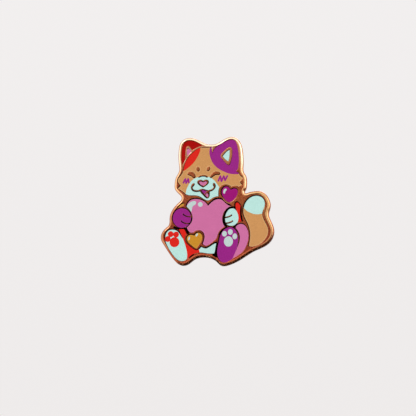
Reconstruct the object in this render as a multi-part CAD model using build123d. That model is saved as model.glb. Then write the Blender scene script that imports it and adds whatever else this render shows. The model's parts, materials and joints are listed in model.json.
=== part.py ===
from build123d import *
import os

os.makedirs("parts", exist_ok=True)

# Frame: the pin as worn. The back face is the plane y = 0, the picture side faces -Y, +Z is up,
# and the origin is on the back face midway between the two posts. All lengths are millimetres.

# Badge plate
PLATE_T = 1.6  # back face to the top of the metal
CELL_DEPTH = 0.5  # floor of the enamel cells below the metal
ENAMEL_DROP = 0.08  # enamel surface below the metal
FILM_T = 0.03  # printed colour laid on the enamel
RIM_ROUND = 0.45  # rounding of the outer front edge
LINE_W = 0.46  # raised metal stroke inside a cell
FINE_W = 0.38  # the finer strokes between fingers
BLUSH_W = 0.48  # printed hatch strokes on the cheeks

# Posts, soldered in recessed seats
POST_Z = 9.0  # each post above and below the origin
SEAT_R = 3.1
SEAT_DEPTH = 0.25
PAD_R = 2.5
PAD_T = 0.20
BEAD_HIGH = 0.18  # solder against the pad
BEAD_LOW = 0.08  # and out at the wall of its seat
ROOT_R = 0.75  # stout stretch that carries the cloth
ROOT_END = 2.40
SHANK_R = 0.55
SHANK_START = 2.60
POST_TIP = 8.0
POINT_LENGTH = 1.5
POINT_R = 0.12
POINT_ROUND = 0.08
GROOVE_Y = 4.0
GROOVE_R = 0.40
GROOVE_W = 0.60

# Butterfly clutches
DISC_FRONT = 2.65  # rim of the clutch disc behind the back face
DISC_R = 5.7
RIM_R = 0.35
SHEET = 0.35
HOLE_R = 0.78
COLLAR_WALL = 0.35
COLLAR_RISE = 0.25  # height of the drawn collar above the sheet
HOLE_LEAD = 0.20  # chamfer at the mouth of the hole
PIVOT_X = 1.95
PIVOT_Y = 4.70
BARREL_R = 0.40
PIN_R = 0.20
PIN_PLAY = 0.05
PIN_REACH = 0.5  # pivot stub standing in from each leg
WING_HALF_W = 2.10
WING_FLARE = 2.70  # half width of the finger plate
WING_CURL_R = 0.30  # curled edge of the finger plate
TOE_T = 0.32
LEG_IN = 2.20  # inner face of each leg of the bridge
BRIDGE_HALF_X = 2.5
TOP_HALF_X = 1.35
TOP_DROP = 0.55  # the shoulders stand this far below the top of the strap
BRIDGE_TOP = 5.75
BEND_R = 0.60  # outer bend of the strap
BEND_INNER_R = 0.30
FOOT_REACH = 0.75  # feet that lie on the disc outside the legs
WIRE_R = 0.20
WIRE_PLAY = 0.05
WIRE_END = 0.05  # the wire stops this far inside the outer face of the bridge
BOW_START = LEG_IN - 0.5  # where the legs of the wire turn into its bow

FRONT = Plane.XZ  # drawings are made in x, z and grow towards the viewer
REAR = Plane(origin=(0, 0, 0), x_dir=(1, 0, 0), z_dir=(0, 1, 0))


# ---------------------------------------------------------------- drawing helpers


def region(*runs):
    """Closed flat region. Each run of points starts where the run before it ended."""
    if len(runs) == 1:
        return make_face(Spline(*runs[0], periodic=True))
    edges = []
    start = runs[-1][-1]
    for run in runs:
        points = [start, *run]
        edges.append(Line(*points) if len(points) == 2 else Spline(*points))
        start = run[-1]
    return make_face(edges)


def stroke(points, width):
    """A metal line of even width with round ends."""
    path = Line(*points) if len(points) == 2 else Spline(*points)
    ends = [Pos(*points[0]) * Circle(width / 2), Pos(*points[-1]) * Circle(width / 2)]
    return trace(path, line_width=width) + ends


def oval(x, z, rx, rz, turn=0.0):
    return Pos(x, z) * Rot(0, 0, turn) * Ellipse(rx, rz)


def slab(flat, low, high):
    """The flat drawing as a solid between two heights in front of the back face."""
    return FRONT * Pos(0, 0, low) * extrude(flat, amount=high - low)


def save(name, shape, colour):
    shape.label = name
    shape.color = Color(*colour)
    export_step(shape, f"parts/{name}.step")


# ---------------------------------------------------------------- outlines


def badge_outline():
    return region(
        [
            (-9.60, 15.5), (-9.15, 16.8), (-8.35, 17.65), (-7.2, 18.08), (-6.0, 18.1),
            (-4.8, 17.78), (-3.6, 17.2), (-2.5, 16.6), (-1.4, 16.15), (-0.2, 16.02),
            (0.9, 16.1), (2.0, 16.55), (3.1, 17.2), (4.3, 17.82), (5.4, 18.12),
            (6.5, 18.02), (7.45, 17.5), (8.2, 16.6), (8.7, 15.4), (9.0, 13.9),
            (9.15, 12.0), (9.18, 10.0), (9.1, 8.5), (9.3, 7.6), (9.8, 6.8),
            (10.1, 5.8), (10.15, 4.6), (10.1, 3.5), (9.8, 2.5), (9.5, 1.85),
            (9.75, 1.5), (10.6, 1.65), (11.8, 1.92), (13.0, 2.05), (14.1, 1.93),
            (15.1, 1.45), (16.0, 0.6), (16.65, -0.6), (16.98, -1.9), (16.8, -3.2),
            (16.5, -4.2), (16.45, -5.0), (16.8, -6.1), (17.3, -7.2), (17.75, -8.4),
            (17.95, -9.6), (17.8, -10.8), (17.3, -12.0), (16.4, -13.1), (15.1, -14.0),
            (13.6, -14.7), (12.1, -15.35), (10.6, -16.2), (9.1, -17.15), (7.5, -18.1),
            (5.9, -18.85), (4.4, -19.35), (3.2, -19.5), (2.3, -19.2), (1.5, -18.45),
            (0.6, -17.7), (-0.6, -17.15), (-2.1, -16.9), (-3.7, -16.98), (-5.0, -17.45),
            (-6.1, -18.25), (-7.2, -18.95), (-8.4, -19.2), (-9.6, -18.85), (-10.8, -17.8),
            (-12.0, -16.25), (-13.1, -14.6), (-14.1, -13.0), (-14.8, -11.7),
            (-14.85, -10.4), (-14.35, -9.2), (-13.4, -8.2), (-12.65, -7.5),
            (-12.4, -6.7), (-12.38, -5.6), (-12.2, -4.4), (-11.7, -3.2), (-10.8, -1.95),
            (-9.7, -0.85), (-8.98, -0.1), (-8.85, 0.65), (-9.35, 1.4), (-10.3, 2.35),
            (-10.85, 3.3), (-10.9, 4.4), (-10.8, 5.6), (-10.5, 6.6), (-9.95, 7.6),
            (-9.58, 8.6), (-9.62, 10.0), (-9.8, 12.0), (-9.78, 14.0),
        ]
    )


def ear_left_cell():
    return region(
        [(-8.85, 11.5), (-8.88, 13.0), (-8.75, 14.6), (-8.45, 15.9), (-7.9, 16.75),
         (-7.0, 17.15), (-6.0, 17.17), (-4.8, 16.85), (-3.8, 16.35), (-2.8, 15.72)],
        [(-3.7, 15.45), (-4.7, 15.02), (-5.68, 14.42)],
        [(-6.1, 14.98), (-6.5, 15.5), (-7.0, 15.72), (-7.45, 15.35), (-7.65, 14.4),
         (-7.74, 13.3), (-7.72, 12.2)],
        [(-8.0, 11.6), (-8.3, 10.95), (-8.6, 10.3)],
    )


def ear_left_inner_cell():
    return region(
        [(-7.3, 13.6), (-7.24, 14.5), (-6.95, 14.98), (-6.55, 14.7), (-6.02, 13.92)],
        [(-6.62, 13.36), (-7.16, 12.78)],
    )


def face_outline():
    return region(
        [(-4.6, 14.5), (-5.6, 13.68), (-6.5, 12.8), (-7.2, 11.8), (-7.78, 10.7),
         (-8.1, 9.6), (-8.3, 8.5), (-8.7, 7.5), (-9.3, 6.75), (-9.85, 6.0),
         (-9.95, 5.3)],
        [(-9.55, 4.65), (-9.02, 4.0)],
        [(-9.5, 3.65), (-9.86, 3.22)],
        [(-9.1, 2.8), (-8.3, 2.2), (-7.55, 1.5)],
        [(-6.9, 1.22), (-5.9, 1.12), (-4.9, 1.08), (-4.0, 0.92), (-3.2, 0.55),
         (-2.4, 0.02), (-1.7, -0.35), (-1.1, -0.47), (-0.5, -0.25), (0.2, 0.22),
         (1.0, 0.55), (1.95, 0.7)],
        [(1.92, 1.6), (2.0, 2.5), (2.25, 3.3), (2.8, 3.85), (3.6, 4.15), (4.5, 4.12),
         (5.2, 3.82), (5.7, 3.42)],
        [(6.3, 3.68), (7.0, 3.68), (7.75, 3.4)],
        [(8.2, 3.62), (8.75, 3.95)],
        [(8.35, 4.35), (8.15, 4.82)],
        [(8.5, 5.25), (9.02, 5.75)],
        [(8.9, 6.1), (8.4, 6.42), (8.0, 6.95), (7.72, 7.5)],
        [(7.3, 7.72), (6.95, 7.98)],
        [(7.35, 8.25), (7.62, 8.7)],
        [(7.75, 9.6), (7.88, 11.0), (7.8, 13.0), (7.5, 15.0), (7.2, 16.1),
         (6.8, 16.85), (6.1, 17.18), (5.2, 17.18), (4.2, 16.82), (3.2, 16.28),
         (2.2, 15.75), (1.3, 15.15)],
        [(0.75, 14.6), (0.45, 14.0), (0.3, 13.62)],
        [(0.1, 13.62)],
        [(-0.02, 14.3), (0.02, 15.2)],
        [(-1.0, 15.06), (-2.3, 15.02), (-3.5, 15.04)],
    )


def heart(dip, tip, left, right):
    """A heart from its dip, its tip and the points round each lobe."""
    return region([*left, tip], [*right, dip])


def nose_ring():
    return heart(
        (-2.55, 5.28),
        (-2.55, 3.40),
        [(-3.0, 5.58), (-3.58, 5.63), (-4.1, 5.34), (-4.21, 4.8), (-3.82, 4.24), (-3.23, 3.79)],
        [(-1.87, 3.79), (-1.28, 4.24), (-0.89, 4.8), (-1.0, 5.34), (-1.52, 5.63), (-2.1, 5.58)],
    )


def nose_cell():
    return heart(
        (-2.55, 4.82),
        (-2.55, 3.88),
        [(-2.95, 5.06), (-3.35, 5.14), (-3.66, 4.98), (-3.6, 4.66), (-3.15, 4.22)],
        [(-1.95, 4.22), (-1.5, 4.66), (-1.44, 4.98), (-1.75, 5.14), (-2.15, 5.06)],
    )


def mouth_ring():
    return region(
        [(-3.06, 1.72), (-2.4, 1.0), (-1.79, 0.37), (-1.3, 0.18), (-0.85, 0.46),
         (-0.64, 1.1), (-0.64, 1.8), (-0.73, 2.5)],
        [(-1.5, 2.62), (-2.3, 2.88), (-3.0, 2.98)],
        [(-3.35, 2.72), (-3.45, 2.3)],
    )


def mouth_cell():
    return region(
        [(-2.65, 2.0), (-2.15, 1.45)],
        [(-1.85, 1.85), (-1.45, 2.22)],
        [(-2.2, 2.5), (-3.02, 2.62)],
    )


def tongue_cell():
    return region(
        [(-1.86, 1.12), (-1.66, 1.52), (-1.36, 1.66), (-1.1, 1.4), (-1.04, 0.95), (-1.22, 0.6),
         (-1.55, 0.72)]
    )


def ear_right_ring():
    return region(
        [(5.2, 15.1), (4.6, 14.85), (3.8, 14.18), (3.05, 13.45), (2.58, 12.75),
         (2.68, 12.1), (3.25, 11.3), (4.0, 10.45), (4.65, 9.82), (5.08, 9.74),
         (5.36, 10.2), (5.72, 11.3), (5.98, 12.6), (6.02, 13.8), (5.82, 14.75)]
    )


def ear_right_inner_cell():
    return region(
        [(4.55, 13.95), (3.8, 13.22), (3.15, 12.45)],
        [(3.65, 11.78), (4.2, 11.28), (4.8, 10.8)],
        [(5.04, 11.6), (5.22, 12.9), (5.26, 14.3)],
    )


def brow_left():
    return oval(-4.02, 8.82, 0.52, 0.74, 8)


def brow_right():
    return oval(-0.98, 8.82, 0.52, 0.74, -22)


def eye_left():
    return region(
        [(-7.15, 7.46), (-6.88, 7.96), (-6.22, 8.12), (-5.4, 7.88), (-4.88, 7.25), (-4.73, 6.52),
         (-5.06, 6.12), (-5.66, 6.4), (-6.3, 6.88), (-6.92, 7.1)]
    )


def eye_right():
    return region(
        [(-0.52, 6.5), (-0.03, 7.3), (0.7, 7.94), (1.62, 8.02), (2.34, 7.75), (2.5, 7.26),
         (2.14, 6.94), (1.48, 6.96), (0.9, 6.8), (0.4, 6.46), (-0.02, 6.18), (-0.4, 6.15)]
    )


def smile():
    """The line of the upper lip, with a thick end on each cheek."""
    left = stroke(
        [(-5.25, 4.45), (-5.72, 3.95), (-5.85, 3.3), (-5.5, 2.68), (-4.8, 2.4), (-4.05, 2.38),
         (-3.3, 2.62)],
        LINE_W,
    )
    right = stroke([(-0.8, 2.38), (-0.05, 2.55), (0.55, 3.0), (0.86, 3.55), (0.58, 4.4)], LINE_W)
    return left + oval(-5.5, 4.15, 0.36, 0.58, -38) + right + oval(0.7, 4.05, 0.35, 0.56, 16)


def face_lines():
    """Every raised metal mark that stands in the face cell."""
    marks = eye_left() + eye_right() + brow_left() + brow_right()
    marks += stroke([(-3.75, 6.55), (-3.15, 6.78), (-2.5, 6.86), (-1.9, 6.76), (-1.4, 6.5)], LINE_W)
    return marks + smile() + nose_ring() + mouth_ring() + ear_right_ring()


def cheek_heart_cell():
    return heart(
        (5.5, 2.5),
        (5.1, -1.08),
        [(5.15, 2.98), (4.75, 3.35), (4.2, 3.52), (3.6, 3.3), (3.1, 2.72), (2.9, 2.0),
         (3.0, 1.2), (3.4, 0.4), (3.95, -0.35), (4.5, -0.85)],
        [(5.8, -0.85), (6.5, -0.3), (7.1, 0.5), (7.48, 1.4), (7.5, 2.15), (7.2, 2.68),
         (6.7, 2.88), (6.05, 2.75)],
    )


def big_heart_cell():
    return region(
        [(-1.55, -1.38), (-2.2, -0.75), (-3.0, -0.3), (-4.0, 0.0), (-5.0, 0.05),
         (-5.9, -0.15), (-6.7, -0.75), (-7.15, -1.45), (-7.32, -2.15)],
        [(-6.65, -2.85), (-6.05, -3.75), (-5.68, -4.75), (-5.62, -5.7), (-5.85, -6.6),
         (-6.4, -7.4), (-7.25, -8.2)],
        [(-6.9, -9.0), (-6.4, -9.6)],
        [(-5.8, -9.72), (-5.25, -9.6)],
        [(-4.8, -9.22), (-4.2, -9.05), (-3.5, -9.08), (-2.8, -9.4), (-2.3, -10.0),
         (-2.1, -10.8), (-2.18, -11.7), (-2.62, -12.95)],
        [(-2.2, -13.42), (-1.7, -13.6), (-1.0, -13.38), (-0.2, -12.88), (0.6, -12.2),
         (1.25, -11.55), (1.6, -10.7), (1.95, -9.8), (2.5, -9.02), (3.1, -8.5),
         (3.75, -8.12)],
        [(3.3, -7.45), (3.05, -6.55), (3.0, -5.6), (3.2, -4.6), (3.6, -3.72),
         (4.2, -3.0), (4.85, -2.52), (5.5, -2.22)],
        [(4.8, -2.0), (4.2, -1.56), (3.6, -0.98), (3.1, -0.5), (2.55, -0.22),
         (1.8, -0.14), (1.0, -0.34), (0.3, -0.72), (-0.35, -1.25), (-1.1, -2.05)],
    )


def hand_left_cell():
    fingers = stroke([(-8.4, -4.25), (-7.9, -4.7), (-7.2, -4.98), (-5.9, -5.05)], FINE_W)
    fingers += stroke([(-8.9, -6.3), (-8.3, -6.78), (-7.5, -7.02), (-6.2, -7.0)], FINE_W)
    return oval(-8.72, -5.42, 2.64, 2.84) - fingers


def shoulder_cell():
    return region(
        [(-9.35, -1.82), (-8.65, -1.33), (-8.16, -1.22)],
        [(-8.2, -1.62), (-8.65, -1.95), (-9.3, -2.18), (-10.05, -2.4)],
    )


def hand_right_cell():
    palm = region(
        [(5.8, -2.88), (6.75, -3.15), (7.3, -3.9), (7.66, -4.8), (7.78, -5.8), (7.66, -6.7),
         (7.1, -7.4), (6.35, -7.92), (5.4, -7.98), (4.55, -7.72), (4.05, -7.1),
         (3.85, -6.2), (3.86, -5.3), (4.12, -4.4), (4.6, -3.55), (5.15, -3.05)]
    )
    fingers = stroke([(3.6, -5.52), (4.5, -5.42), (5.2, -5.18), (5.68, -4.88)], FINE_W)
    fingers += stroke([(3.7, -7.25), (4.8, -7.1), (5.45, -6.9), (5.98, -6.6)], FINE_W)
    return palm - fingers + side_cell()


def side_cell():
    return region(
        [(7.42, -1.2), (7.9, -1.6), (8.36, -2.1)],
        [(8.22, -3.0), (8.15, -4.0), (8.2, -5.0), (8.4, -6.0), (8.6, -6.82)],
        [(7.5, -6.85)],
        [(7.72, -5.8), (7.6, -4.8), (7.26, -3.9), (6.95, -2.75), (6.88, -1.8)],
        [(6.95, -1.5), (7.12, -1.28)],
    )


def foot_left_cell():
    """One cell for the foot, the leg beside it and the belly under the heart."""
    return region(
        [(-12.6, -8.98), (-13.22, -9.6), (-13.52, -10.5), (-13.6, -11.4), (-13.42, -12.4),
         (-12.95, -13.5), (-12.25, -14.8), (-11.4, -16.05), (-10.45, -17.15),
         (-9.5, -17.8), (-8.5, -17.98), (-7.7, -17.75), (-7.15, -17.3), (-6.55, -16.78),
         (-5.95, -16.3), (-5.3, -15.92), (-4.4, -15.65), (-3.4, -15.56), (-2.0, -15.75),
         (-0.6, -15.95), (0.72, -15.9)],
        [(0.95, -15.0), (1.1, -14.0), (1.35, -12.92)],
        [(0.6, -13.12), (-0.2, -13.62), (-1.0, -14.12), (-1.8, -14.38), (-2.5, -14.2),
         (-3.08, -13.9)],
        [(-3.5, -14.42), (-4.0, -14.75), (-4.55, -14.85), (-5.2, -14.6), (-6.0, -14.02),
         (-6.8, -13.35), (-7.45, -12.65), (-7.82, -11.85), (-7.8, -11.0),
         (-7.42, -10.0)],
        [(-7.72, -9.3), (-8.12, -8.68)],
        [(-8.9, -8.66), (-9.6, -8.68)],
        [(-9.3, -9.4), (-8.9, -10.3), (-8.3, -11.5)],
        [(-9.02, -10.5), (-9.55, -9.68), (-10.1, -9.15), (-10.85, -8.82), (-11.7, -8.74)],
    )


def gold_heart_cell():
    return heart(
        (-5.12, -10.72),
        (-4.42, -14.32),
        [(-5.6, -10.46), (-6.2, -10.38), (-6.85, -10.65), (-7.28, -11.3), (-7.12, -12.1),
         (-6.5, -12.88), (-5.65, -13.62), (-4.95, -14.15)],
        [(-4.0, -13.75), (-3.45, -12.95), (-2.98, -12.15), (-2.8, -11.25), (-2.95, -10.4),
         (-3.4, -9.95), (-3.95, -9.8), (-4.5, -10.02)],
    )


def foot_right_cell():
    """One cell for the foot and the thigh behind it; the metal line between them tapers away."""
    return region(
        [(4.2, -8.64), (3.3, -9.28), (2.7, -10.2), (2.32, -11.2), (2.1, -12.3),
         (1.85, -13.5), (1.62, -14.8), (1.6, -16.0), (1.8, -17.0), (2.3, -17.88),
         (3.0, -18.42), (3.8, -18.55), (4.7, -18.25), (5.8, -17.6), (7.0, -16.88),
         (8.0, -16.25), (8.9, -15.5), (9.6, -14.5), (10.12, -13.4), (10.45, -12.2),
         (10.6, -11.0), (10.52, -9.9), (10.2, -8.9), (9.65, -8.05), (9.0, -7.6),
         (8.3, -7.48), (7.6, -7.7), (7.1, -8.12), (6.9, -8.62)],
        [(7.5, -9.4), (7.95, -10.4), (8.1, -11.4), (7.98, -12.5), (7.62, -13.6),
         (7.02, -15.2)],
        [(7.4, -13.6), (7.58, -12.5), (7.55, -11.2), (7.28, -10.1), (6.75, -9.15),
         (6.0, -8.55), (5.0, -8.38)],
    )


def tail_cell():
    return region(
        [(11.8, 0.45), (10.8, -0.12), (10.0, -0.95), (9.5, -1.9), (9.25, -2.8),
         (9.14, -3.8), (9.25, -4.7), (9.6, -5.7), (10.1, -6.7), (10.55, -7.7),
         (10.88, -8.8), (11.08, -10.0), (11.1, -11.2), (10.95, -12.5), (10.7, -13.92)],
        [(11.4, -14.08), (12.3, -14.0), (13.25, -13.7), (14.25, -13.12), (15.12, -12.3),
         (15.82, -11.3), (16.2, -10.2), (16.2, -9.15), (15.88, -8.05), (15.3, -6.9),
         (14.78, -5.8), (14.56, -4.9), (14.72, -4.0), (15.1, -3.05), (15.36, -2.1),
         (15.3, -1.1), (14.9, -0.25), (14.2, 0.32), (13.5, 0.58), (12.8, 0.64)],
    )


# ---------------------------------------------------------------- printed shapes


def forehead_patch():
    return region(
        [(-3.3, 15.6)],
        [(-3.38, 14.5), (-3.85, 13.1), (-4.5, 11.9), (-5.3, 10.78), (-6.2, 9.85),
         (-7.2, 9.05), (-8.8, 8.1)],
        [(-10.0, 8.1)],
        [(-10.0, 15.6)],
    )


def ear_patch():
    return region(
        [(-0.35, 15.6)],
        [(-0.6, 14.7), (-0.7, 13.6), (-0.5, 12.4), (0.0, 11.1), (0.85, 9.8), (2.0, 8.78),
         (3.4, 7.98), (4.8, 7.4), (6.2, 7.12), (8.0, 7.15)],
        [(9.0, 7.2)],
        [(9.0, 18.0)],
        [(-0.35, 18.0)],
    )


def muzzle_patch():
    return region(
        [(-7.6, 1.0)],
        [(-7.56, 2.2), (-7.2, 3.4), (-6.5, 4.7), (-5.6, 5.72), (-4.5, 6.32), (-3.4, 6.62),
         (-2.4, 6.7), (-1.3, 6.55), (-0.2, 6.12), (0.7, 5.4), (1.3, 4.65), (1.8, 3.9),
         (2.3, 3.1)],
        [(3.0, -1.0)],
        [(-7.6, -1.0)],
    )


def blush(points):
    """A hatched cheek mark: slanting strokes joined end to end."""
    mark = stroke(points[:2], BLUSH_W)
    for i in range(1, len(points) - 1):
        mark += stroke(points[i : i + 2], BLUSH_W)
    return mark


def blush_left():
    return blush([(-8.3, 4.9), (-7.75, 6.0), (-7.5, 4.8), (-6.9, 6.0), (-6.7, 4.9)])


def blush_right():
    return blush([(1.9, 5.25), (2.5, 6.6), (2.8, 5.1), (3.5, 6.6), (3.85, 5.35), (4.5, 6.6)])


def tail_tip():
    return region(
        [(9.25, -2.75), (9.85, -3.47), (10.9, -4.15), (11.9, -4.58), (13.0, -4.77),
         (14.0, -4.7), (15.2, -4.4)],
        [(16.0, -4.3)],
        [(16.0, 1.2)],
        [(8.6, 1.2)],
        [(8.6, -2.2)],
    )


def leg_patch():
    return region(
        [(-9.75, -8.4)],
        [(-9.2, -9.6), (-8.6, -10.9), (-8.12, -12.2), (-7.72, -13.4), (-7.4, -14.5),
         (-7.2, -15.6), (-7.16, -16.5), (-7.35, -17.7)],
        [(-3.5, -17.7)],
        [(-3.5, -15.7), (-3.7, -14.9), (-3.9, -14.3)],
        [(-3.9, -8.4)],
    )


def thigh_patch():
    return region(
        [(6.9, -7.0)],
        [(6.95, -8.7), (7.6, -9.8), (7.82, -11.3), (7.7, -12.7), (7.45, -13.9),
         (7.0, -15.1), (6.45, -16.4), (5.6, -18.2)],
        [(11.0, -18.2)],
        [(11.0, -7.0)],
    )


def paw_pads_left():
    pads = oval(-11.97, -10.06, 0.84, 0.86) + oval(-10.4, -10.2, 0.83, 0.86)
    return pads + oval(-12.84, -11.47, 0.84, 0.84) + oval(-10.87, -12.42, 1.42, 1.46)


def paw_pads_right():
    pads = oval(3.66, -10.25, 0.7, 0.8) + oval(5.36, -9.75, 0.7, 0.82)
    return pads + oval(6.64, -11.05, 0.68, 0.84) + oval(4.8, -12.48, 1.3, 1.5)


def big_heart_shine():
    bean = region(
        [(-7.6, -2.4), (-7.02, -1.55), (-6.4, -0.92), (-5.6, -0.6), (-4.85, -0.58),
         (-4.58, -1.05), (-4.8, -1.55), (-5.4, -1.95), (-5.75, -2.6), (-5.95, -3.5),
         (-6.6, -3.9), (-7.6, -3.3)]
    )
    return bean + oval(-3.35, -1.55, 0.7, 0.7)


def cheek_heart_shine():
    return region(
        [(3.32, 1.75), (3.4, 2.35), (3.72, 2.82), (4.18, 2.9), (4.34, 2.58), (4.05, 2.2),
         (3.88, 1.75), (3.62, 1.45)]
    )


def gold_heart_shine():
    return oval(-6.62, -11.42, 0.24, 0.55, -14) + oval(-4.38, -10.45, 0.27, 0.5, -32)


# ---------------------------------------------------------------- badge


def all_cells():
    """Every enamel cell by the name of the piece that fills it."""
    return {
        "enamel_ear_left": ear_left_cell(),
        "enamel_ear_left_inner": ear_left_inner_cell(),
        "enamel_face": face_outline() - face_lines(),
        "enamel_ear_right_inner": ear_right_inner_cell(),
        "enamel_nose": nose_cell(),
        "enamel_mouth": mouth_cell(),
        "enamel_tongue": tongue_cell(),
        "enamel_cheek_heart": cheek_heart_cell(),
        "enamel_big_heart": big_heart_cell(),
        "enamel_hand_left": hand_left_cell(),
        "enamel_shoulder": shoulder_cell(),
        "enamel_hand_right": hand_right_cell(),
        "enamel_foot_left": foot_left_cell(),
        "enamel_gold_heart": gold_heart_cell(),
        "enamel_foot_right": foot_right_cell(),
        "enamel_tail": tail_cell(),
    }


def all_prints():
    """Every printed film: the cell it lies in, its shape and its colour."""
    return {
        "print_forehead_patch": ("enamel_face", forehead_patch(), RED),
        "print_ear_patch": ("enamel_face", ear_patch(), PURPLE),
        "print_muzzle": ("enamel_face", muzzle_patch(), MINT),
        "print_blush_left": ("enamel_face", blush_left(), PURPLE),
        "print_blush_right": ("enamel_face", blush_right(), PURPLE),
        "print_cheek_heart_shine": ("enamel_cheek_heart", cheek_heart_shine(), SHINE),
        "print_big_heart_shine": ("enamel_big_heart", big_heart_shine(), SHINE),
        "print_gold_heart_shine": ("enamel_gold_heart", gold_heart_shine(), SHINE),
        "print_side": ("enamel_hand_right", side_cell(), RED),
        "print_leg": ("enamel_foot_left", leg_patch(), RED),
        "print_paw_pads_left": ("enamel_foot_left", paw_pads_left(), RED),
        "print_thigh": ("enamel_foot_right", thigh_patch(), PINK),
        "print_paw_pads_right": ("enamel_foot_right", paw_pads_right(), SHINE),
        "print_tail_tip": ("enamel_tail", tail_tip(), MINT),
    }


RED = (0.70, 0.04, 0.03)
DARK_RED = (0.40, 0.01, 0.01)
MINT = (0.52, 0.78, 0.70)
TAN = (0.60, 0.30, 0.11)
PURPLE = (0.33, 0.02, 0.22)
MAGENTA = (0.35, 0.01, 0.19)
PINK = (0.62, 0.15, 0.36)
GOLD = (0.58, 0.28, 0.03)
SHINE = (0.75, 0.85, 0.85)
COPPER = (0.60, 0.30, 0.20)
STEEL = (0.60, 0.56, 0.52)
SOLDER = (0.65, 0.65, 0.66)
BRASS = (0.72, 0.55, 0.25)

ENAMEL_COLOUR = {
    "enamel_ear_left": DARK_RED,
    "enamel_ear_left_inner": PINK,
    "enamel_face": TAN,
    "enamel_ear_right_inner": MINT,
    "enamel_nose": PINK,
    "enamel_mouth": PURPLE,
    "enamel_tongue": PINK,
    "enamel_cheek_heart": MAGENTA,
    "enamel_big_heart": PINK,
    "enamel_hand_left": PURPLE,
    "enamel_shoulder": GOLD,
    "enamel_hand_right": MINT,
    "enamel_foot_left": MINT,
    "enamel_gold_heart": GOLD,
    "enamel_foot_right": PURPLE,
    "enamel_tail": TAN,
}


def metal_base(cells):
    """The struck plate: rounded outer edge, recessed cells in front, two post seats behind."""
    plate = slab(badge_outline(), 0, PLATE_T)
    front_edges = plate.faces().sort_by(Axis.Y)[0].edges()
    plate = fillet(front_edges, RIM_ROUND)
    for cell in cells.values():
        plate -= slab(cell, PLATE_T - CELL_DEPTH, PLATE_T + 0.1)
    for z in (POST_Z, -POST_Z):
        plate -= REAR * Pos(0, -z, -SEAT_DEPTH) * extrude(Circle(SEAT_R), amount=SEAT_DEPTH + 0.1)
    return plate


# ---------------------------------------------------------------- posts


def turned(points):
    """A solid of revolution about the post axis from (radius, y) points."""
    profile = make_face(Polyline(*[(r, y) for r, y in points], close=True))
    return revolve(profile, Axis.Y)


def post():
    low = -SEAT_DEPTH
    groove_low = GROOVE_Y - GROOVE_W / 2
    groove_high = GROOVE_Y + GROOVE_W / 2
    bite = SHANK_R - GROOVE_R
    return turned(
        [
            (0, low),
            (PAD_R, low),
            (PAD_R, low + PAD_T),
            (ROOT_R, low + PAD_T),
            (ROOT_R, ROOT_END),
            (SHANK_R, SHANK_START),
            (SHANK_R, groove_low - bite / 2),
            (GROOVE_R, groove_low + bite / 2),
            (GROOVE_R, groove_high - bite / 2),
            (SHANK_R, groove_high + bite / 2),
            (SHANK_R, POST_TIP - POINT_LENGTH),
            (POINT_R, POST_TIP - POINT_ROUND),
            (0, POST_TIP),
        ]
    )


def solder():
    """The bead that fills the seat round the pad of a post."""
    low = -SEAT_DEPTH
    return turned([(PAD_R, low), (SEAT_R, low), (SEAT_R, low + BEAD_LOW), (PAD_R, low + BEAD_HIGH)])


# ---------------------------------------------------------------- clutches


def disc():
    """Pressed disc with a rolled rim and a drawn collar round the hole."""
    mid = DISC_FRONT + RIM_R
    sheet_low = mid - SHEET / 2
    sheet_high = mid + SHEET / 2
    plate = turned(
        [
            (HOLE_R + HOLE_LEAD, sheet_low),
            (DISC_R - RIM_R, sheet_low),
            (DISC_R - RIM_R, sheet_high),
            (HOLE_R + COLLAR_WALL, sheet_high),
            (HOLE_R + COLLAR_WALL - 0.1, sheet_high + COLLAR_RISE),
            (HOLE_R, sheet_high + COLLAR_RISE),
            (HOLE_R, sheet_low + HOLE_LEAD),
        ]
    )
    rim = revolve(Pos(DISC_R - RIM_R, mid) * Circle(RIM_R), Axis.Y)
    return plate + rim


def bridge():
    """Strap on the disc: two legs that carry the wing pivots, slots for the wire, a drilled top."""
    low = DISC_FRONT + RIM_R + SHEET / 2
    leg_out = LEG_IN + SHEET
    strap = Rectangle(2 * leg_out, BRIDGE_TOP - low, align=(Align.CENTER, Align.MIN))
    strap = fillet(strap.vertices().group_by(Axis.Y)[-1], BEND_R)
    inner = Rectangle(2 * LEG_IN, BRIDGE_TOP - low - SHEET, align=(Align.CENTER, Align.MIN))
    inner = fillet(inner.vertices().group_by(Axis.Y)[-1], BEND_INNER_R)
    feet = Rectangle(2 * (leg_out + FOOT_REACH), SHEET, align=(Align.CENTER, Align.MIN))
    side = Plane(origin=(0, low, 0), x_dir=(0, 0, 1), z_dir=(-1, 0, 0))
    body = side * extrude(strap + feet - inner, amount=BRIDGE_HALF_X, both=True)
    shoulder = BRIDGE_TOP - TOP_DROP
    across = 3 * leg_out
    for x in (-1, 1):
        body -= Pos(x * (TOP_HALF_X + 1), shoulder + 1, 0) * Box(2, 2, across)
    slot_width = 3 * GROOVE_R + 4 * WIRE_R
    body -= Pos(0, GROOVE_Y, 0) * Box(slot_width, 2 * (WIRE_R + WIRE_PLAY), across)
    body -= REAR * Pos(0, 0, BRIDGE_TOP - 1) * extrude(Circle(HOLE_R), amount=2)
    for x in (-PIVOT_X, PIVOT_X):
        for z in (-1, 1):
            middle = z * (LEG_IN + SHEET / 2 - PIN_REACH / 2)
            body += Pos(x, PIVOT_Y, middle) * Cylinder(PIN_R, SHEET + PIN_REACH)
    return body


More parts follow.
